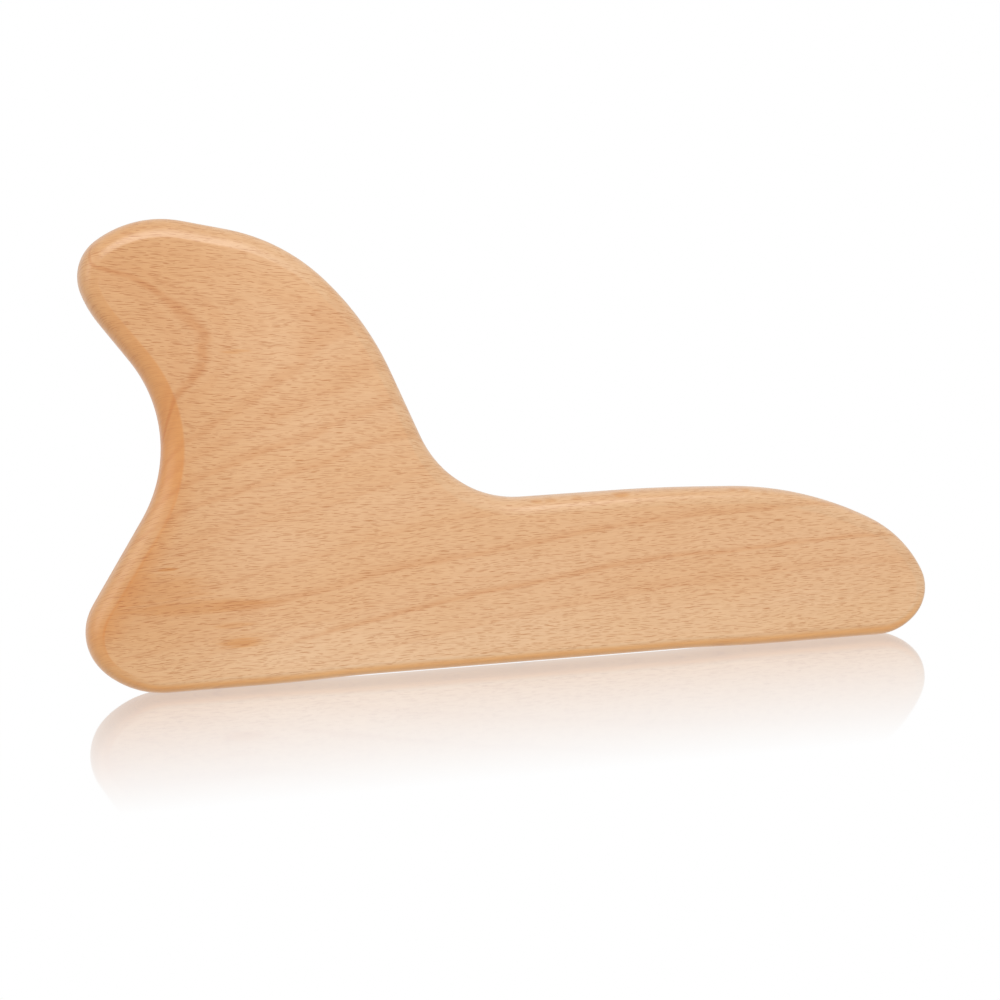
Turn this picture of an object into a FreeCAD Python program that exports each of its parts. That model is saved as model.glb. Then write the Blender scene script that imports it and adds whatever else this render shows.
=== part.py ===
import FreeCAD, Part
import math
import os

# Gua sha scraper: one hardwood board with a fin, a waist, a crook and a long handle,
# every edge rounded over. It stands on its long edge.
# X runs along the board from heel to nose, Y through its thickness, Z up. Sizes in mm.

THICKNESS = 13.0
EDGE_RADIUS = 5.5

# The long edge is sanded flat, which leaves strips to rest on, and hollowed a little between.
SANDED_OFF = 0.15
HOLLOW_START = -74.5
HOLLOW_END = 74.5
HOLLOW_RUN_IN = 20.0
HOLLOW_RISE = 0.52
HOLLOW_RADIUS = 400.0

# Corners of the outline before rounding, anticlockwise: X, Z and the arc's radius.
HEEL_UNDER = (-121.0, -SANDED_OFF, 27.0)
HOLLOW_IN = (HOLLOW_START, -SANDED_OFF, HOLLOW_RADIUS)
HOLLOW_LEFT = (HOLLOW_START + HOLLOW_RUN_IN, HOLLOW_RISE, HOLLOW_RADIUS)
HOLLOW_RIGHT = (HOLLOW_END - HOLLOW_RUN_IN, HOLLOW_RISE, HOLLOW_RADIUS)
HOLLOW_OUT = (HOLLOW_END, -SANDED_OFF, HOLLOW_RADIUS)
NOSE_UNDER = (124.5, -SANDED_OFF, 17.5)
NOSE_FRONT = (138.9, 11.0, 13.3)
NOSE_TOP = (127.3, 32.2, 40.0)
HANDLE_SLOPE = (93.8, 49.3, 115.0)
HANDLE_TOP = (44.5, 51.5, 520.0)
CROOK_LOWER = (-10.2, 51.15, 35.0)
CROOK_UPPER = (-28.1, 62.6, 34.0)
FIN_BACK = (-47.65, 106.6, 89.0)
FIN_SHOULDER = (-72.2, 131.75, 59.0)
BEAK_CROWN = (-115.5, 141.0, 32.0)
BEAK_NOSE = (-136.5, 127.5, 13.0)
BEAK_UNDER = (-130.0, 112.5, 34.0)
WAIST = (-101.7, 75.5, 41.0)
HEEL_SIDE = (-139.8, 15.0, 15.8)

OUTLINE = [
    HEEL_UNDER, HOLLOW_IN, HOLLOW_LEFT, HOLLOW_RIGHT, HOLLOW_OUT, NOSE_UNDER, NOSE_FRONT,
    NOSE_TOP, HANDLE_SLOPE, HANDLE_TOP, CROOK_LOWER, CROOK_UPPER, FIN_BACK, FIN_SHOULDER,
    BEAK_CROWN, BEAK_NOSE, BEAK_UNDER, WAIST, HEEL_SIDE,
]


def corner_arc(before, corner, after, y):
    """The arc that rounds one corner, tangent to the sides that meet there."""
    tip = FreeCAD.Vector(corner[0], y, corner[1])
    to_before = FreeCAD.Vector(before[0], y, before[1]).sub(tip).normalize()
    to_after = FreeCAD.Vector(after[0], y, after[1]).sub(tip).normalize()
    radius = corner[2]
    half_angle = to_before.getAngle(to_after) / 2
    start = tip + to_before * (radius / math.tan(half_angle))
    end = tip + to_after * (radius / math.tan(half_angle))
    inward = (to_before + to_after).normalize()
    middle = tip + inward * (radius / math.sin(half_angle) - radius)
    return Part.Arc(start, middle, end)


def outline_wire(corners, y):
    """The closed outline in the plane at y: an arc at each corner and a line between each two."""
    count = len(corners)
    arcs = [
        corner_arc(corners[i - 1], corners[i], corners[(i + 1) % count], y)
        for i in range(count)
    ]
    edges = []
    for i in range(count):
        edges.append(arcs[i].toShape())
        leave = arcs[i].EndPoint
        reach = arcs[(i + 1) % count].StartPoint
        edges.append(Part.LineSegment(leave, reach).toShape())
    return Part.Wire(edges)


def rounded_board():
    """The outline given its thickness, then its front and back edges rounded over."""
    face = Part.Face(outline_wire(OUTLINE, -THICKNESS / 2))
    board = face.extrude(FreeCAD.Vector(0, THICKNESS, 0))
    rims = [edge for edge in board.Edges if edge.BoundBox.YLength < 0.001]
    return board.makeFillet(EDGE_RADIUS, rims)


def scraper_body():
    """The board with its long edge sanded flat at Z 0."""
    below = Part.makeBox(400, 40, 10, FreeCAD.Vector(-200, -20, -10))
    return rounded_board().cut(below)


def main():
    os.makedirs("parts", exist_ok=True)
    body = scraper_body()
    body.exportStep("parts/scraper_body.step")


main()
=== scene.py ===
"""Gua sha scraper in beech: one board with a fin, a waist, a crook and a long handle."""

import logging
import math
from dataclasses import dataclass
from enum import Enum

import bpy
import numpy as np
from mathutils import Matrix, Vector
from mathutils.geometry import delaunay_2d_cdt


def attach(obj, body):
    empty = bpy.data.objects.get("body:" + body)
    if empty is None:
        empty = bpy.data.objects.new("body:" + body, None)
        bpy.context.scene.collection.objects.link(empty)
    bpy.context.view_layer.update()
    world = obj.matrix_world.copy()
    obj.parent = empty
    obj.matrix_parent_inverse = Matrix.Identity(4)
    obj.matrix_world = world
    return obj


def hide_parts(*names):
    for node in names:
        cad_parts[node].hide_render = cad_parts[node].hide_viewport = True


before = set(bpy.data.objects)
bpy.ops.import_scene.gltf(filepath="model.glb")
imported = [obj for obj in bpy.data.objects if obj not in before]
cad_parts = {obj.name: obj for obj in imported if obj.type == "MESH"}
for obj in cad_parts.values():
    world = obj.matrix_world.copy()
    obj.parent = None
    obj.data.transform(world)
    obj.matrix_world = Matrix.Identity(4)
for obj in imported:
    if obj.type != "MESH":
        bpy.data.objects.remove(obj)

log = logging.getLogger("scraper")
MM = 0.001
Socket = bpy.types.NodeSocket
Colour = tuple[float, float, float]
THICKNESS = 13.0
# What a fade ends on at its low and high bounds.
RISE, FALL = (0.0, 1.0), (1.0, 0.0)


class Weave(Enum):
    """How often a noise repeats along X, through the board and along Z, per mm."""

    FIBRE = (0.055, 0.30, 1.50)
    SILK = (0.16, 0.40, 3.20)
    CLOUD = (0.014, 0.03, 0.05)
    WANDER = (0.020, 0.03, 0.035)
    WOBBLE = (0.090, 0.20, 0.40)


@dataclass(frozen=True)
class Corner:
    """One corner of the outline before it is rounded, in mm.

    band is how far the rounded edge reaches into the face there, arris is the angle in
    degrees at which it meets the face, and soft is the share of the band that blends away.
    """

    x: float
    z: float
    radius: float
    band: float
    arris: float
    soft: float


@dataclass(frozen=True)
class Sanding:
    """How the long edge is sanded flat and hollowed, in mm."""

    off: float = 0.15
    start: float = -74.5
    end: float = 74.5
    run_in: float = 20.0
    rise: float = 0.52
    radius: float = 400.0


SAND = Sanding()
CORNERS = (
    Corner(-121.0, -SAND.off, 27.0, 4.4, 4.0, 0.30),
    Corner(SAND.start, -SAND.off, SAND.radius, 4.6, 4.0, 0.30),
    Corner(SAND.start + SAND.run_in, SAND.rise, SAND.radius, 4.6, 4.0, 0.30),
    Corner(SAND.end - SAND.run_in, SAND.rise, SAND.radius, 4.6, 4.0, 0.30),
    Corner(SAND.end, -SAND.off, SAND.radius, 4.8, 4.0, 0.30),
    Corner(124.5, -SAND.off, 17.5, 5.0, 3.0, 0.35),
    Corner(138.9, 11.0, 13.3, 5.0, 2.0, 0.40),
    Corner(127.3, 32.2, 40.0, 5.0, 3.0, 0.40),
    Corner(93.8, 49.3, 115.0, 5.0, 5.0, 0.35),
    Corner(44.5, 51.5, 520.0, 5.0, 8.0, 0.30),
    Corner(-10.2, 51.15, 35.0, 5.6, 11.0, 0.15),
    Corner(-28.1, 62.6, 34.0, 5.4, 9.0, 0.20),
    Corner(-47.65, 106.6, 89.0, 5.0, 8.0, 0.20),
    Corner(-72.2, 131.75, 59.0, 5.5, 17.0, 0.09),
    Corner(-115.5, 141.0, 32.0, 5.4, 18.0, 0.08),
    Corner(-136.5, 127.5, 13.0, 4.4, 6.0, 0.30),
    Corner(-130.0, 112.5, 34.0, 5.2, 7.0, 0.25),
    Corner(-101.7, 75.5, 41.0, 6.1, 13.0, 0.08),
    Corner(-139.8, 15.0, 15.8, 4.3, 8.0, 0.18),
)


class Outline:
    """The board's closed outline, worked out from its corners as evenly spaced stations.

    Points and directions in the outline's plane are complex numbers, x + iz, in mm.
    """

    ARC_STEP = 0.3

    def __init__(self, corners: tuple[Corner, ...], spacing: float, smooth: float) -> None:
        """Works out the stations.

        Args:
            corners: The corners, anticlockwise seen from the front.
            spacing: The distance between stations, in mm.
            smooth: How far the change from arc to line is eased, in mm.
        """
        points, middles = self._chain(corners)
        closed = np.append(points, points[:1])
        along = np.concatenate([[0.0], np.cumsum(np.abs(np.diff(closed)))])
        count = int(round(along[-1] / spacing))
        self.length = float(along[-1])
        self.where = np.arange(count) * self.length / count
        x = np.interp(self.where, along, closed.real)
        z = np.interp(self.where, along, closed.imag)
        self.point = self._ease(x + 1j * z, smooth)
        slope = self._slope(self.point)
        self.normal = -1j * slope / np.abs(slope)
        self._spots = along[middles]

    @classmethod
    def _chain(cls, corners: tuple[Corner, ...]) -> tuple[np.ndarray, np.ndarray]:
        """The polyline of arcs and lines.

        A corner's arc starts and ends at radius / tan(half the corner's angle) from its tip,
        and its centre is radius / sin(half the angle) inside the tip.

        Args:
            corners: The outline's corners.

        Returns:
            The points as complex numbers, x + iz, and the index of each arc's middle point.
        """
        tip = np.array([c.x + 1j * c.z for c in corners])
        radius = np.array([c.radius for c in corners])
        back = np.roll(tip, 1) - tip
        back /= np.abs(back)
        ahead = np.roll(tip, -1) - tip
        ahead /= np.abs(ahead)
        half = np.arccos(np.clip((back.conj() * ahead).real, -1, 1)) / 2
        turn = np.sign((ahead.conj() * back).imag) * (math.pi - 2 * half)
        start = tip + back * radius / np.tan(half)
        inward = back + ahead
        centre = tip + inward / np.abs(inward) * radius / np.sin(half)
        arcs, middles, total = [], [], 0
        for i in range(len(corners)):
            count = 2 * max(6, int(radius[i] * abs(turn[i]) / cls.ARC_STEP)) + 1
            sweep = np.exp(1j * turn[i] * np.linspace(0, 1, count))
            arcs.append(centre[i] + (start[i] - centre[i]) * sweep)
            middles.append(total + count // 2)
            total += count
        return np.concatenate(arcs), np.array(middles)

    @staticmethod
    def _ease(curve: np.ndarray, smooth: float) -> np.ndarray:
        """Eases a closed curve by damping each of its waves by a bell of its frequency.

        Args:
            curve: The curve's evenly spaced points.
            smooth: The bell's width along the curve, in mm.

        Returns:
            The eased curve.
        """
        wave = np.fft.fftfreq(len(curve)) * 2 * math.pi
        step = np.abs(np.diff(curve)).mean()
        return np.fft.ifft(np.fft.fft(curve) * np.exp(-0.5 * (wave * smooth / step) ** 2))

    @staticmethod
    def _slope(curve: np.ndarray) -> np.ndarray:
        """The derivative of a closed curve, worked out from its waves."""
        wave = np.fft.fftfreq(len(curve)) * 2 * math.pi
        return np.fft.ifft(np.fft.fft(curve) * 1j * wave)

    def spread(self, values: list[float], smooth: float) -> np.ndarray:
        """Spreads one value per corner along the stations, eased.

        Args:
            values: One value for each corner, in the corners' order.
            smooth: How far the steps are eased, in mm.

        Returns:
            One value for each station.
        """
        order = np.argsort(self._spots)
        raw = np.interp(
            self.where, self._spots[order], np.array(values)[order], period=self.length
        )
        wave = np.fft.fftfreq(len(raw)) * 2 * math.pi
        step = self.length / len(raw)
        return np.fft.ifft(np.fft.fft(raw) * np.exp(-0.5 * (wave * smooth / step) ** 2)).real

    def holds(self, spots: np.ndarray, clear: float) -> np.ndarray:
        """Which spots are inside the outline and clear of it.

        Args:
            spots: Spots as complex numbers, x + iz.
            clear: The least distance to the outline, in mm.

        Returns:
            One true or false for each spot.
        """
        near = np.abs(self.point[None, :] - spots[:, None]).min(axis=1)
        return inside(self.point, spots) & (near > clear)


def inside(border: np.ndarray, spots: np.ndarray) -> np.ndarray:
    """Which spots a closed border goes round.

    A ray to the right of such a spot crosses the border an odd number of times.

    Args:
        border: The border's points as complex numbers, x + iz.
        spots: The spots, as complex numbers too.

    Returns:
        One true or false for each spot.
    """
    a, b, p = border[None, :], np.roll(border, -1)[None, :], spots[:, None]
    spans = (a.imag > p.imag) != (b.imag > p.imag)
    rise = np.where(spans, b.imag - a.imag, 1.0)
    cross = a.real + (p.imag - a.imag) * (b.real - a.real) / rise
    return (spans & (p.real < cross)).sum(axis=1) % 2 == 1


def smooth_step(share: np.ndarray) -> np.ndarray:
    """Eases a share at both ends: 3 s^2 - 2 s^3, where s is the share cut off at 0 and 1."""
    s = np.clip(share, 0, 1)
    return s * s * (3 - 2 * s)


class Graph:
    """Adds and links the shader nodes of one material."""

    def __init__(self, material: bpy.types.Material) -> None:
        """Empties the material's tree and keeps it.

        Args:
            material: The material.
        """
        material.use_nodes = True
        self.tree = material.node_tree
        self.tree.nodes.clear()

    def node(
        self, kind: str, inputs: dict[str | int, object] | None = None, **settings: object
    ) -> bpy.types.Node:
        """Adds a node.

        Args:
            kind: The node's Blender type.
            inputs: Its inputs by name or place, each a socket to link or a plain value.
            **settings: Its properties.

        Returns:
            The node.
        """
        made = self.tree.nodes.new(kind)
        for setting, value in settings.items():
            setattr(made, setting, value)
        for key, value in (inputs or {}).items():
            if isinstance(value, Socket):
                self.tree.links.new(value, made.inputs[key])
            else:
                made.inputs[key].default_value = value
        return made

    def math(self, operation: str, *values: object, clamp: bool = False) -> Socket:
        """A sum, product or other operation on numbers."""
        inputs = dict(enumerate(values))
        return self.node("ShaderNodeMath", inputs, operation=operation, use_clamp=clamp).outputs[0]

    def vector(self, operation: str, *values: object) -> Socket:
        """An operation on vectors, which gives a vector."""
        inputs = dict(enumerate(values))
        return self.node("ShaderNodeVectorMath", inputs, operation=operation).outputs[0]

    def join(self, x: object, y: object, z: object) -> Socket:
        """A vector from three numbers."""
        return self.node("ShaderNodeCombineXYZ", {0: x, 1: y, 2: z}).outputs[0]

    def split(self, vector: Socket) -> tuple[Socket, ...]:
        """A vector's three numbers."""
        return tuple(self.node("ShaderNodeSeparateXYZ", {0: vector}).outputs)

    def noise(self, place: Socket, detail: float) -> Socket:
        """A cloudy noise from 0 to 1, about 0.5."""
        inputs = {"Vector": place, "Scale": 1.0, "Detail": detail, "Roughness": 0.55}
        return self.node("ShaderNodeTexNoise", inputs).outputs["Fac"]

    def fade(
        self, value: object, low: float, high: float, to: tuple[float, float] = RISE
    ) -> Socket:
        """Maps a number from low..high to another range, eased at both ends."""
        inputs = {0: value, 1: low, 2: high, 3: to[0], 4: to[1]}
        return self.node("ShaderNodeMapRange", inputs, interpolation_type="SMOOTHSTEP").outputs[0]

    def tint(self, amount: object, colour: Socket, by: Colour) -> Socket:
        """Multiplies a colour by another, as far as amount says.

        Args:
            amount: How far, from 0 for not at all to 1.
            colour: The colour.
            by: What its red, green and blue are multiplied by.

        Returns:
            The tinted colour.
        """
        inputs = {"Factor": amount, 6: colour, 7: (*by, 1.0)}
        made = self.node("ShaderNodeMix", inputs, data_type="RGBA", blend_type="MULTIPLY")
        return made.outputs[2]


@dataclass(frozen=True)
class Ring:
    """One growth ring's dark line: its radius from the tree's heart and its strength.

    flank is how far its slow darkening reaches in front of it, in mm.
    """

    radius: float
    strength: float
    flank: float


@dataclass(frozen=True)
class Stain:
    """A brown mark in the front face: middle, half length, half height (mm) and strength."""

    x: float
    z: float
    long: float
    high: float
    strength: float


@dataclass(frozen=True)
class Flecks:
    """One size of the dark dashes that the wood's rays leave: cell and dash sizes in mm.

    shift moves them along all three axes, so that two sizes don't share their middles.
    """

    cell: tuple[float, float, float]
    half_long: float
    half_thick: float
    strength: float
    shift: float


@dataclass(frozen=True)
class Lay:
    """How the fibres lie: along X, waving gently, and dipping to the right up in the fin.

    wave is how often they wave along X and Z per mm, and through is how far they rise per mm
    of depth. dip is how far they fall per mm along X, from dip_from on, and it grows from none
    at the height low to all of it at high.
    """

    wave: tuple[float, float] = (0.022, 0.03)
    wave_height: float = 5.0
    through: float = 0.6
    dip: float = 0.10
    dip_from: float = -90.0
    low: float = 30.0
    high: float = 125.0


@dataclass(frozen=True)
class Heart:
    """Where the tree's heart lies behind the board and what bends its rings, in mm.

    depth and height are the factors of polynomials in u = (x + 100) / 100. bend and wobble are
    how far a slow and a quick noise move a ring, and offset is what these add on average. The
    rings are drawn on a scale that starts at low and spans so much, each with a sharp outer
    side.
    """

    depth: tuple[float, float, float] = (2500.0, 2000.0, -950.0)
    height: tuple[float, float] = (102.0, 12.0)
    bend: float = 5.0
    wobble: float = 0.45
    offset: float = 2.72
    low: float = 40.0
    span: float = 85.0
    outer_side: float = 0.7


@dataclass(frozen=True)
class Paling:
    """Where the ring lines pale, and the faint lines between them. Sizes in mm.

    Over the heights in above, from the heart up, a line pales to above_left of its strength,
    unless its radius is under those in spared. Over the spans of x + heel_lean z in heel, it
    comes back from heel_left. Where the quick noise is low, it keeps worn_left. A faint line
    is a noise that repeats so often over the radius and along X, drawn over faint_span.
    """

    above: tuple[float, float] = (2.0, 16.0)
    above_left: float = 0.3
    spared: tuple[float, float] = (52.0, 54.0)
    heel_lean: float = 2.5
    heel: tuple[float, float] = (-65.0, -10.0)
    heel_left: float = 0.15
    worn: tuple[float, float] = (0.2, 0.6)
    worn_left: float = 0.55
    faint_often: tuple[float, float] = (0.42, 0.006)
    faint_span: tuple[float, float] = (0.50, 0.72)
    faint_most: float = 0.25


@dataclass(frozen=True)
class Spot:
    """The sockets that say where a shaded point is, in mm: all together, and one by one."""

    mm: Socket
    x: Socket
    y: Socket
    z: Socket


@dataclass(frozen=True)
class Beech:
    """Sanded beech with an oil finish, as colours, ring places and dash sizes.

    base is the wood's own colour, and each other colour is what it is multiplied by. The left
    tint is painted shade that darkens the left end, and fades out over left_shade_span in X. The
    pale one is a painted reflection that makes the face paler and bluer near the bottom, and
    fades out over painted_reflection_span in Z. A stain fades out over stain_depth in Y, in mm.
    end_grain_and_shade is the end grain's orange with painted shade. fine_span and cloud_span are
    the noises' spans from none of a tint to all of it. A stain ends where its ellipse's square
    reaches stain_end, give or take fray.
    rounded edge is, and relief the height of the grain in metres.
    """

    base: Colour = (0.570, 0.343, 0.182)
    # Painted shade: darkens and warms the left end of the board.
    left: Colour = (0.91, 0.83, 0.70)
    fibre: Colour = (0.97, 0.945, 0.92)
    silk: Colour = (0.95, 0.93, 0.91)
    cloud: Colour = (0.975, 0.935, 0.86)
    line: Colour = (0.87, 0.71, 0.54)
    fleck: Colour = (0.63, 0.40, 0.17)
    worn: Colour = (0.96, 1.00, 1.04)
    # End grain's orange and painted shade, for the edges that face left and down, and the left
    # arris.
    end_grain_and_shade: Colour = (0.96, 0.77, 0.47)
    # Painted reflection: makes the face near the bottom paler and bluer, like the white table's
    # light.
    stain: Colour = (0.90, 0.73, 0.46)
    pale: Colour = (1.04, 1.11, 1.20)
    left_shade_span: tuple[float, float] = (-125.0, -70.0)
    painted_reflection_span: tuple[float, float] = (6.0, 26.0)
    fine_span: tuple[float, float] = (0.35, 0.70)
    cloud_span: tuple[float, float] = (0.30, 0.70)
    stain_depth: tuple[float, float] = (-4.0, -1.0)
    fray: float = 1.2
    stain_end: float = 1.3
    roughness: float = 0.38
    swing: tuple[float, float] = (-0.03, 0.04)
    rim_polish: float = 0.04
    relief: float = 0.00004
    refraction: float = 1.6
    lay: Lay = Lay()
    heart: Heart = Heart()
    paling: Paling = Paling()
    rings: tuple[Ring, ...] = (
        Ring(50.5, 0.95, 0.9),
        Ring(56.4, 0.45, 1.5),
        Ring(59.6, 0.35, 2.4),
        Ring(63.4, 0.50, 1.8),
        Ring(68.5, 0.45, 1.6),
        Ring(76.6, 0.30, 1.5),
        Ring(87.8, 0.25, 1.5),
        Ring(96.4, 0.55, 2.6),
        Ring(106.7, 0.70, 1.8),
        Ring(114.5, 0.30, 3.5),
    )
    stains: tuple[Stain, ...] = (
        Stain(-90.5, 14.2, 7.0, 1.6, 0.85),
        Stain(-90.5, 14.6, 11.0, 3.0, 0.30),
        Stain(-92.0, 19.5, 6.5, 1.1, 0.50),
        Stain(-103.0, 25.6, 26.0, 2.4, 0.60),
        Stain(-91.0, 25.4, 9.0, 1.7, 0.45),
        Stain(-115.0, 31.5, 17.0, 5.0, 0.50),
        Stain(-111.4, 37.4, 3.4, 0.6, 1.40),
        Stain(-89.0, 100.2, 4.5, 0.7, 0.60),
        Stain(31.0, 50.7, 3.2, 0.9, 0.90),
        Stain(16.5, 50.6, 2.0, 0.8, 0.50),
        Stain(8.0, 50.3, 2.2, 0.6, 0.50),
        Stain(3.5, 50.2, 2.0, 0.6, 0.50),
        Stain(68.0, 49.9, 2.2, 0.7, 0.55),
        Stain(72.5, 49.7, 1.8, 0.8, 0.65),
    )
    flecks: tuple[Flecks, ...] = (
        Flecks((4.4, 9.0, 0.50), 1.90, 0.048, 0.95, 0.0),
        Flecks((6.0, 12.0, 0.80), 2.60, 0.060, 1.00, 31.0),
    )

    def dress(self, name: str) -> bpy.types.Material:
        """Makes the material.

        Args:
            name: The material's name.

        Returns:
            The material, which reads Object coordinates and the attributes end_grain_and_shade, rim
            and arris.
        """
        material = bpy.data.materials.new(name)
        g = Graph(material)
        place = g.node("ShaderNodeTexCoord").outputs["Object"]
        mm = g.vector("MULTIPLY", place, (1000.0,) * 3)
        spot = Spot(mm, *g.split(mm))
        grain = self._along_the_grain(g, spot)
        fibre = self._weave(g, grain, Weave.FIBRE)
        dashes = g.math("MAXIMUM", *(self._dashes(g, grain, size) for size in self.flecks))
        end_grain_and_shade, rim, arris = (
            g.node("ShaderNodeAttribute", attribute_name=stored).outputs["Fac"]
            for stored in ("end_grain_and_shade", "rim", "arris")
        )
        plain = g.math("MULTIPLY_ADD", end_grain_and_shade, -0.8, 1.0)
        colour = self._figure(g, spot, grain, fibre, g.math("MULTIPLY", dashes, plain))
        edge = g.math("SUBTRACT", g.fade(rim, 0.0, 0.2), end_grain_and_shade, clamp=True)
        # The end-grain tint also carries painted shade: partly on the left-facing edge, and all of
        # it under the board.
        for amount, by in ((edge, self.worn), (end_grain_and_shade, self.end_grain_and_shade), (arris, self.end_grain_and_shade)):
            colour = g.tint(amount, colour, by)
        self._polish(g, colour, fibre, dashes, rim)
        return material

    def _figure(
        self, g: Graph, spot: Spot, grain: Socket, fibre: Socket, dashes: Socket
    ) -> Socket:
        """The colour of the wood's face.

        Args:
            g: The material's graph.
            spot: Where the point is.
            grain: Where it is along the grain.
            fibre: The fibres' noise.
            dashes: How strong the rays' dashes are.

        Returns:
            The colour.
        """
        silk = self._weave(g, grain, Weave.SILK)
        cloud = self._weave(g, grain, Weave.CLOUD)
        colour = g.node("ShaderNodeRGB").outputs[0]
        colour.default_value = (*self.base, 1.0)
        for amount, by in (
            # Painted shade: the left end of the board is painted darker and more orange.
            (g.fade(spot.x, *self.left_shade_span, FALL), self.left),
            # Painted reflection: the face is painted paler and bluer near the bottom, as if the
            # white table shone on it.
            (g.fade(spot.z, *self.painted_reflection_span, FALL), self.pale),
            (g.fade(fibre, *self.fine_span), self.fibre),
            (g.fade(silk, *self.fine_span), self.silk),
            (g.fade(cloud, *self.cloud_span), self.cloud),
            (self._ring_lines(g, spot), self.line),
            (dashes, self.fleck),
            *((self._mark(g, mark, spot, fibre), self.stain) for mark in self.stains),
        ):
            colour = g.tint(amount, colour, by)
        return colour

    def _polish(
        self, g: Graph, colour: Socket, fibre: Socket, dashes: Socket, rim: Socket
    ) -> None:
        """Adds the sheen of the finish and the shallow relief of fibres and dashes.

        Args:
            g: The material's graph.
            colour: The wood's colour.
            fibre: The fibres' noise.
            dashes: How strong the rays' dashes are.
            rim: How far out on the rounded edge the point is, from 0 to 1.
        """
        smooth, coarse = (self.roughness + change for change in self.swing)
        rough = g.fade(fibre, 0.2, 0.8, (smooth, coarse))
        rough = g.math("MULTIPLY_ADD", rim, -self.rim_polish, rough)
        height = g.math("MULTIPLY_ADD", dashes, -0.6, g.math("MULTIPLY", fibre, 0.5))
        relief = {"Height": height, "Strength": 0.2, "Distance": self.relief}
        bump = g.node("ShaderNodeBump", relief).outputs[0]
        look = {"Base Color": colour, "Roughness": rough, "Normal": bump, "IOR": self.refraction}
        shader = g.node("ShaderNodeBsdfPrincipled", look)
        g.node("ShaderNodeOutputMaterial", {"Surface": shader.outputs[0]})

    @staticmethod
    def _weave(g: Graph, place: Socket, weave: Weave) -> Socket:
        """A noise stretched as the weave says."""
        return g.noise(g.vector("MULTIPLY", place, weave.value), 2.5)

    def _along_the_grain(self, g: Graph, spot: Spot) -> Socket:
        """Coordinates that follow the fibres.

        Args:
            g: The material's graph.
            spot: Where the point is.

        Returns:
            The coordinates, with the first along the fibres.
        """
        lay = self.lay
        along, up = (g.math("MULTIPLY", c, often) for c, often in zip((spot.x, spot.z), lay.wave))
        wave = g.noise(g.join(along, 0.0, up), 2.0)
        level = g.math("MULTIPLY_ADD", spot.y, lay.through, spot.z)
        lift = g.math("MULTIPLY_ADD", wave, lay.wave_height, level)
        fall = g.fade(spot.z, lay.low, lay.high, (0.0, lay.dip))
        dip = g.math("MULTIPLY", fall, g.math("ADD", spot.x, -lay.dip_from))
        return g.join(spot.x, spot.y, g.math("ADD", lift, dip))

    def _ring_lines(self, g: Graph, spot: Spot) -> Socket:
        """The growth rings' dark lines.

        The rings are rough cylinders round the tree's heart. With u = (x + 100) / 100, the
        heart lies the root of 2500 + 2000 u - 950 u^2 behind the front face, at z = 102 + 12 u.
        A point's radius is its distance from there, bent by a slow noise. A noise of the
        radius alone adds faint lines between the rings. The lines pale above the heart and
        towards the heel.

        Args:
            g: The material's graph.
            spot: Where the point is.

        Returns:
            How dark the lines are, from 0 to 1.
        """
        heart, paling = self.heart, self.paling
        wobble = self._weave(g, spot.mm, Weave.WOBBLE)
        radius, aside = self._from_heart(g, spot, wobble)
        once, drift = (
            g.math("MULTIPLY", c, often) for c, often in zip((radius, spot.x), paling.faint_often)
        )
        faint = g.noise(g.join(once, drift, 0.0), 3.0)
        faint = g.fade(faint, *paling.faint_span, (0.0, paling.faint_most))
        scale = g.math("MULTIPLY_ADD", radius, 1 / heart.span, -heart.low / heart.span)
        above = g.fade(aside, *paling.above, (1.0, paling.above_left))
        above = g.math("MAXIMUM", above, g.fade(radius, *paling.spared, FALL))
        heelward = g.math("MULTIPLY_ADD", spot.z, paling.heel_lean, spot.x)
        heel = g.fade(heelward, *paling.heel, (paling.heel_left, 1.0))
        worn = g.fade(wobble, *paling.worn, (paling.worn_left, 1.0))
        drawn = g.math("MULTIPLY", self._ring_ramp(g, scale), worn)
        drawn = g.math("MULTIPLY", g.math("MULTIPLY", drawn, above), heel)
        return g.math("MAXIMUM", drawn, faint)

    def _from_heart(self, g: Graph, spot: Spot, wobble: Socket) -> tuple[Socket, Socket]:
        """How far a point is from the tree's heart, by the formula that _ring_lines gives.

        Args:
            g: The material's graph.
            spot: Where the point is.
            wobble: The quick noise.

        Returns:
            The bent radius, and how far the point is above the heart, in mm.
        """
        heart = self.heart
        u = g.math("MULTIPLY_ADD", spot.x, 0.01, 1.0)
        steep = g.math("MULTIPLY_ADD", u, heart.depth[2], heart.depth[1])
        behind = g.math("SQRT", g.math("MULTIPLY_ADD", steep, u, heart.depth[0]))
        deep = g.math("SUBTRACT", behind, g.math("ADD", spot.y, THICKNESS / 2))
        level = g.math("MULTIPLY_ADD", u, heart.height[1], heart.height[0])
        aside = g.math("SUBTRACT", spot.z, level)
        square = g.math("MULTIPLY_ADD", deep, deep, g.math("MULTIPLY", aside, aside))
        bend = self._weave(g, spot.mm, Weave.WANDER)
        radius = g.math("MULTIPLY_ADD", bend, heart.bend, g.math("SQRT", square))
        radius = g.math("SUBTRACT", radius, heart.offset)
        return g.math("MULTIPLY_ADD", wobble, heart.wobble, radius), aside

    def _ring_ramp(self, g: Graph, scale: Socket) -> Socket:
        """A peak for each ring: a long rise on its inner flank and a short fall outside.

        Args:
            g: The material's graph.
            scale: The radius as a share of the rings' scale.

        Returns:
            How dark the ring is, from 0 to 1.
        """
        heart, black = self.heart, (0.0, 0.0, 0.0, 1.0)
        ramp = g.node("ShaderNodeValToRGB", {0: scale})
        ramp.color_ramp.interpolation = "EASE"
        stops = ramp.color_ramp.elements
        stops[0].color = stops[1].color = black
        for ring in self.rings:
            inner, outer = ring.radius - ring.flank, ring.radius + heart.outer_side
            for at, level in ((inner, 0.0), (ring.radius, ring.strength), (outer, 0.0)):
                stops.new((at - heart.low) / heart.span).color = (level, level, level, 1.0)
        return ramp.outputs[0]

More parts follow.
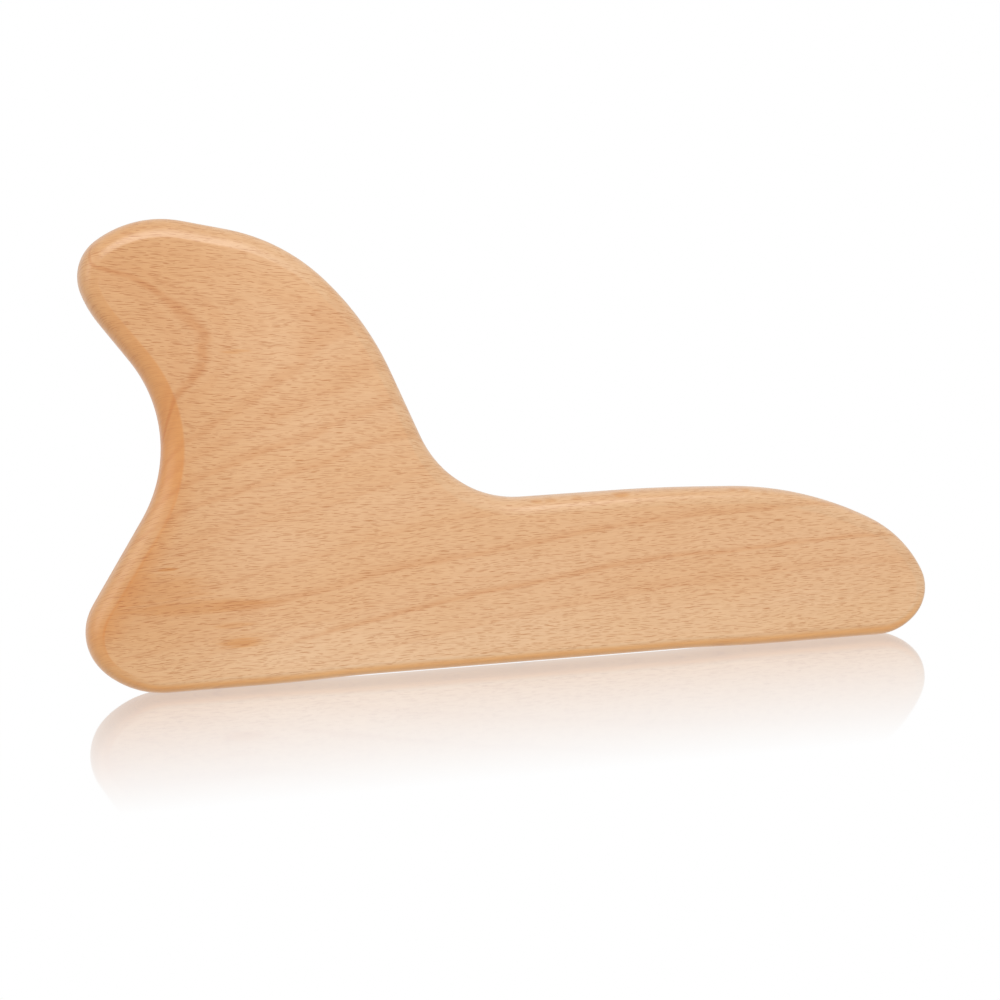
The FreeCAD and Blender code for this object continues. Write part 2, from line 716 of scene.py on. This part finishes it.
    @staticmethod
    def _dashes(g: Graph, grain: Socket, size: Flecks) -> Socket:
        """Lens-shaped dashes, one to a cell, each as long and as strong as its cell's colour says.

        A dash is 1 - (along / half length)^2 - |across| / (2 half thickness), cut off at 0,
        measured from the cell's own middle.

        Args:
            g: The material's graph.
            grain: Where the point is along the grain.
            size: The dashes' sizes.

        Returns:
            How strong the dashes are, from 0 to 1.
        """
        shifted = g.vector("ADD", grain, (size.shift,) * 3)
        scaled = g.vector("DIVIDE", shifted, size.cell)
        cells = g.node("ShaderNodeTexVoronoi", {"Vector": scaled, "Scale": 1.0, "Randomness": 1.0})
        away = g.vector("SUBTRACT", scaled, cells.outputs["Position"])
        along, _, across = g.split(g.vector("MULTIPLY", away, size.cell))
        pick, pale, _ = g.split(cells.outputs["Color"])
        shortest, weakest = 0.45 * size.half_long, 0.12 * size.strength
        reach = g.math("MULTIPLY_ADD", pick, 2 * shortest, shortest)
        long = g.math("DIVIDE", along, reach)
        thin = g.math("DIVIDE", g.math("ABSOLUTE", across), size.half_thick)
        lens = g.math("SUBTRACT", 1.0, g.math("MULTIPLY", long, long))
        lens = g.math("SUBTRACT", lens, g.math("MULTIPLY", thin, 0.5))
        strength = g.fade(pale, 0.05, 0.95, (weakest, size.strength))
        return g.math("MULTIPLY", g.fade(lens, 0.0, 0.7), strength)

    def _mark(self, g: Graph, mark: Stain, spot: Spot, ragged: Socket) -> Socket:
        """A soft ellipse with ragged ends, strongest in its middle, a few mm deep.

        Args:
            g: The material's graph.
            mark: The ellipse.
            spot: Where the point is.
            ragged: The noise that frays it.

        Returns:
            How strong the mark is.
        """
        along = g.math("MULTIPLY_ADD", spot.x, 1 / mark.long, -mark.x / mark.long)
        across = g.math("MULTIPLY_ADD", spot.z, 1 / mark.high, -mark.z / mark.high)
        far = g.math("MULTIPLY_ADD", along, along, g.math("MULTIPLY", across, across))
        far = g.math("ADD", far, g.math("MULTIPLY_ADD", ragged, 2 * self.fray, -self.fray))
        near = g.fade(far, 0.0, self.stain_end, (mark.strength, 0.0))
        return g.math("MULTIPLY", near, g.fade(spot.y, *self.stain_depth, FALL))


@dataclass
class ScraperBody:
    """The board: two flat faces joined by a rounded edge that follows the outline, in mm.

    flat is half the straight part of the edge. hug bends its round part towards the face, and
    crowd gathers its steps near the face. station and steps are how finely it is divided
    along and across. ease and drift are how far the outline's turns and the edge's sizes are
    smoothed along it. cell and row_step size the faces' triangles, and clear keeps them off
    the edge. left_end_grain_and_shade and burnt are heights, and how much darker the wood that
    faces left is there, on the rounded edge and along its arris; on the rounded edge this is
    the end grain's orange together with painted shade. The shares of the edge's width from the
    face out are left_in for the first of these, arris_line (middle and width) for the second,
    and underside_shade_in (start and width) for the painted shade on the wood that faces down.
    """

    thickness: float = THICKNESS
    flat: float = 0.8
    hug: float = 1.6
    crowd: float = 1.3
    station: float = 0.9
    ease: float = 1.2
    drift: float = 9.0
    steps: int = 30
    cell: float = 4.0
    row_step: float = 0.866
    clear: float = 8.5
    finish: Beech = Beech()
    # Painted shade with end grain: how far the left-facing edge is painted orange and darker, by
    # height.
    left_end_grain_and_shade: tuple[tuple[float, ...], ...] = (
        (0.0, 20.0, 33.0, 50.0, 64.0, 98.0, 110.0, 125.0),
        (0.9, 0.80, 0.25, 0.30, 1.00, 1.00, 0.70, 0.15),
    )
    burnt: tuple[tuple[float, ...], ...] = (
        (4.0, 16.0, 22.0, 44.0, 60.0, 72.0),
        (0.0, 0.3, 1.0, 1.0, 0.5, 0.0),
    )
    left_in: float = 0.15
    # Where the painted shade on the downward-facing edge starts, and over how much of the edge it
    # grows.
    underside_shade_in: tuple[float, float] = (0.08, 0.42)
    arris_line: tuple[float, float] = (0.06, 0.14)

    def edge_profile(self, outline: Outline) -> tuple[np.ndarray, np.ndarray]:
        """The rounded edge from its middle line to the front face, at every station.

        The direction turns steadily from straight across the edge to the arris angle, then
        eases to level over the soft share. Its steps are summed, and the sum is scaled to the
        band's width and to half the thickness.

        Args:
            outline: The board's outline.

        Returns:
            The distance in from the outline and the distance from the board's middle, each
            with a row for a station and a column for a step.
        """
        band, arris, soft = (
            outline.spread([getattr(c, name) for c in CORNERS], self.drift)[:, None]
            for name in ("band", "arris", "soft")
        )
        t = (np.arange(self.steps) + 0.5)[None, :] / self.steps
        t = 1 - (1 - t) ** self.crowd
        knee = 1 - soft
        lean = np.radians(arris)
        turning = lean + (math.pi / 2 - lean) * (1 - np.clip(t / knee, 0, 1)) ** self.hug
        angle = np.where(t < knee, turning, lean * (1 - smooth_step((t - knee) / soft)))
        weight = np.gradient(t, axis=1)
        run = np.cumsum(np.cos(angle) * weight, axis=1)
        rise = np.cumsum(np.sin(angle) * weight, axis=1)
        zero = np.zeros((len(run), 1))
        run = np.hstack([zero, run / run[:, -1:] * band])
        rise = np.hstack([zero, rise / rise[:, -1:] * (self.thickness / 2 - self.flat)])
        return run, rise + self.flat

    def build(self) -> bpy.types.Object:
        """Builds the board's mesh, dresses it and puts it in the CAD node's place.

        Returns:
            The finished piece.
        """
        outline = Outline(CORNERS, self.station, self.ease)
        run, out = self.edge_profile(outline)
        inset = np.hstack([run[:, ::-1], run])
        depth = np.hstack([-out[:, ::-1], out])
        ring = outline.point[:, None] - outline.normal[:, None] * inset
        rows, columns = ring.shape
        strip = np.stack([ring.real, depth, np.maximum(ring.imag, 0.0)], axis=-1)
        faces = self._grid_faces(rows, columns).tolist()
        spots, fill = self._face_fill(outline, ring[:, 0])
        inner, half, first = spots[rows:], self.thickness / 2, np.arange(rows) * columns
        points = strip.reshape(-1, 3)
        for side, rim, y in ((1, first, -half), (-1, first + columns - 1, half)):
            ids = np.concatenate([rim, np.arange(len(inner)) + len(points)])
            faces += ids[fill][:, ::side].tolist()
            block = np.stack([inner.real, np.full(len(inner), y), inner.imag], axis=1)
            points = np.vstack([points, block])
        mesh = bpy.data.meshes.new("scraper_body_skin")
        mesh.from_pydata((points * MM).tolist(), [], faces)
        mesh.shade_smooth()
        self._attributes(mesh, outline, inset)
        mesh.materials.append(self.finish.dress("beech_oiled"))
        mesh.validate()
        piece = bpy.data.objects.new("scraper_board", mesh)
        bpy.context.scene.collection.objects.link(piece)
        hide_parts("scraper_body")
        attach(piece, "root")
        return piece

    @staticmethod
    def _grid_faces(rows: int, columns: int) -> np.ndarray:
        """The cells of a grid that closes on itself along its rows.

        Args:
            rows: The number of rows.
            columns: The number of columns.

        Returns:
            The four corners of each cell.
        """
        row, column = np.arange(rows)[:, None], np.arange(columns - 1)[None, :]
        here = row * columns + column
        beyond = (row + 1) % rows * columns + column
        return np.stack([here, here + 1, beyond + 1, beyond], axis=-1).reshape(-1, 4)

    def _face_fill(self, outline: Outline, rim: np.ndarray) -> tuple[np.ndarray, np.ndarray]:
        """Fills a flat face with even triangles.

        Args:
            outline: The board's outline.
            rim: The face's border as complex numbers, x + iz.

        Returns:
            All the face's points, the border first, and the triangles.
        """
        low, high = outline.point.real.min(), outline.point.real.max()
        x = np.arange(low, high, self.cell)
        z = np.arange(0.0, outline.point.imag.max(), self.cell * self.row_step)
        across, up = np.meshgrid(x, z)
        across[1::2] += self.cell / 2
        spots = (across + 1j * up).ravel()
        points = np.concatenate([rim, spots[outline.holds(spots, self.clear)]])
        flat = [Vector((p.real, p.imag)) for p in points]
        border = [(i, (i + 1) % len(rim)) for i in range(len(rim))]
        made = delaunay_2d_cdt(flat, border, [], 0, 1e-6, True)
        source = np.array([ids[0] for ids in made[3]])
        triangles = source[np.array(made[2])]
        return points, triangles[inside(rim, points[triangles].mean(axis=1))]

    def _attributes(self, mesh: bpy.types.Mesh, outline: Outline, inset: np.ndarray) -> None:
        """Stores how far out each point is on the edge, how squarely it cuts the fibres, and its
        painted shade.

        rim runs from 0 at the face to 1 at the edge's middle line. end_grain_and_shade is the end
        grain's orange and painted shade on the wood that faces left, as left_end_grain_and_shade
        says, and painted shade on the wood that faces down. arris is a soft line where the left
        edge meets the face, as burnt says.

        Args:
            mesh: The mesh, whose first points are the edge's.
            outline: The board's outline.
            inset: Each edge point's distance in from the outline.
        """
        rim = 1 - inset / inset.max(axis=1, keepdims=True)
        leftward = np.clip(-outline.normal.real, 0, 1)
        downward = np.clip(-outline.normal.imag, 0, 1)
        # End grain's orange and painted shade on the wood that faces left.
        left = (leftward * np.interp(outline.point.imag, *self.left_end_grain_and_shade))[:, None]
        burnt = (leftward * np.interp(outline.point.imag, *self.burnt))[:, None]
        # Painted shade on the wood that faces down: under darkens the lower part of the rounded
        # edge.
        start, width = self.underside_shade_in
        under = downward[:, None] * smooth_step((rim - start) / width)
        middle, spread = self.arris_line
        values = {
            "rim": rim,
            "end_grain_and_shade": np.maximum(left * smooth_step(rim / self.left_in), under),
            "arris": burnt * np.exp(-(((rim - middle) / spread) ** 2)),
        }
        for name, value in values.items():
            stored = np.zeros(len(mesh.vertices), dtype=np.float32)
            stored[: inset.size] = value.ravel()
            mesh.attributes.new(name, "FLOAT", "POINT").data.foreach_set("value", stored)


@dataclass(frozen=True)
class SoftBox:
    """A soft box that faces the middle of the board: its middle, width and height in metres.

    glow is how bright it looks beside the room's white.
    """

    name: str
    place: tuple[float, float, float]
    size: tuple[float, float]
    glow: float

    def build(self) -> None:
        """Makes the lamp."""
        data = bpy.data.lights.new(self.name, "AREA")
        data.shape = "RECTANGLE"
        data.size, data.size_y = self.size
        data.energy = self.glow * math.pi * self.size[0] * self.size[1]
        lamp = bpy.data.objects.new(self.name, data)
        lamp.location = self.place
        toward = Vector((0.0, 0.0, 0.06)) - lamp.location
        lamp.rotation_euler = toward.to_track_quat("-Z", "Y").to_euler()
        bpy.context.scene.collection.objects.link(lamp)


@dataclass
class Studio:
    """A white table that mirrors what stands near, in an even white room. Sizes in metres.

    mirror is how much the table mirrors beside the board, and this fades to nothing at reach.
    """

    half: float = 6.0
    mirror: float = 0.65
    blur: float = 0.04
    reach: float = 0.140
    below: float = 0.00002
    room: float = 1.0
    boxes: tuple[SoftBox, ...] = (
        SoftBox("soft_above", (0.00, -0.70, 0.72), (0.80, 0.42), 5.0),
        SoftBox("soft_left", (-1.20, -0.45, 0.40), (1.20, 1.20), 1.0),
    )

    def build(self) -> None:
        """Makes the table, the room's light and the soft boxes."""
        self._table()
        self._room()
        for box in self.boxes:
            box.build()

    def _table(self) -> None:
        """Makes a flat white sheet whose mirror fades with the distance from the board."""
        s = self.half
        mesh = bpy.data.meshes.new("table_top")
        mesh.from_pydata([(-s, -s, 0), (s, -s, 0), (s, s, 0), (-s, s, 0)], [], [(0, 1, 2, 3)])
        mesh.materials.append(self._gloss())
        table = bpy.data.objects.new("table_top", mesh)
        bpy.context.scene.collection.objects.link(table)
        table.location.z = -self.below

    def _gloss(self) -> bpy.types.Material:
        """The table's material: even white, mixed with a mirror that only the camera sees.

        Returns:
            The material.
        """
        material = bpy.data.materials.new("white_gloss")
        g = Graph(material)
        place = g.node("ShaderNodeTexCoord").outputs["Object"]
        _, y, _ = g.split(place)
        away = g.math("DIVIDE", g.math("ABSOLUTE", y), self.reach)
        near = g.math("SUBTRACT", 1.0, away, clamp=True)
        seen = g.node("ShaderNodeLightPath").outputs["Is Camera Ray"]
        amount = g.math("MULTIPLY", g.math("MULTIPLY", near, self.mirror), seen)
        glow = g.node("ShaderNodeEmission", {"Color": (1, 1, 1, 1), "Strength": 1.0})
        gloss = g.node("ShaderNodeBsdfGlossy", {"Color": (1, 1, 1, 1), "Roughness": self.blur})
        mixed = g.node("ShaderNodeMixShader", {0: amount, 1: glow.outputs[0], 2: gloss.outputs[0]})
        g.node("ShaderNodeOutputMaterial", {"Surface": mixed.outputs[0]})
        return material

    def _room(self) -> None:
        """Makes even white light from all round."""
        world = bpy.data.worlds.new("white_room")
        world.use_nodes = True
        light = world.node_tree.nodes["Background"]
        light.inputs["Color"].default_value = (1.0, 1.0, 1.0, 1.0)
        light.inputs["Strength"].default_value = self.room
        bpy.context.scene.world = world


@dataclass
class Viewpoint:
    """Where the board is seen from: left of square and a little above. Metres and degrees.

    lens and sensor are in mm.
    """

    place: tuple[float, float, float] = (-0.26728, -0.79762, 0.16969)
    azimuth: float = -18.08
    elevation: float = 8.07
    roll: float = -1.0
    lens: float = 100.15
    sensor: float = 36.0
    nearest: float = 0.01

    def build(self) -> None:
        """Makes the camera and gives it to the scene."""
        data = bpy.data.cameras.new("viewpoint")
        data.lens = self.lens
        data.sensor_width = self.sensor
        data.clip_start = self.nearest
        camera = bpy.data.objects.new("viewpoint", data)
        turn, tip, roll = (math.radians(v) for v in (self.azimuth, self.elevation, self.roll))
        back = Vector(
            (math.sin(turn) * math.cos(tip), -math.cos(turn) * math.cos(tip), math.sin(tip))
        )
        right = Vector((math.cos(turn), math.sin(turn), 0.0))
        right = right * math.cos(roll) + back.cross(right) * math.sin(roll)
        axes = Matrix((right, back.cross(right), back)).transposed()
        camera.matrix_world = Matrix.Translation(self.place) @ axes.to_4x4()
        bpy.context.scene.collection.objects.link(camera)
        bpy.context.scene.camera = camera


def main() -> None:
    """Builds the board, the studio and the camera in order, and reports the board's faces."""
    logging.basicConfig(level=logging.INFO, format="%(name)s: %(message)s")
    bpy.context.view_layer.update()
    board = ScraperBody().build()
    log.info("%s: %d faces", board.name, len(board.data.polygons))
    Studio().build()
    Viewpoint().build()
    bpy.context.scene.view_settings.view_transform = "Standard"


if __name__ == "__main__":
    main()
